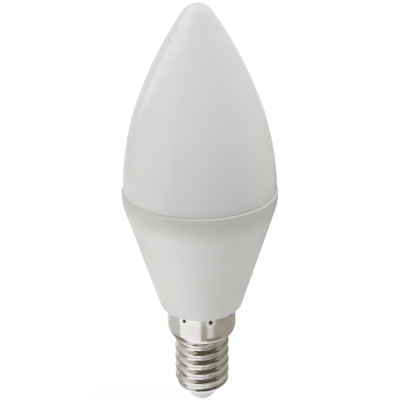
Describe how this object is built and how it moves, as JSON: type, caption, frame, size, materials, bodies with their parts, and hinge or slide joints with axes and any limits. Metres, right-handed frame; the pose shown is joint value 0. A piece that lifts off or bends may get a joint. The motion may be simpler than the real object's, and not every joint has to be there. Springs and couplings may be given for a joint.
{
  "type": "candle bulb",
  "caption": "Candle-shaped lamp bulb: opal tapering diffuser on a white conical housing, with a small nickel-plated screw cap, a white insulator and a centre contact below.",
  "frame": {"origin": "on the lamp's axis, at the underside of the centre contact", "axes": "+Z along the axis from the centre contact to the tip; -Y is the side that the picture shows"},
  "size_m": [0.0376, 0.0376, 0.1031],
  "materials": {
    "opal": "opal white, satin",
    "housing_plastic": "white, fine satin",
    "nickel": "nickel plated, rolled",
    "insulator_plastic": "white, moulded",
    "contact_metal": "tinned, dull"
  },
  "bodies": {
    "root": {"diffuser": "opal", "housing": "housing_plastic", "screw_cap": "nickel", "cap_insulator": "insulator_plastic", "centre_contact": "contact_metal"}
  },
  "joints": []
}
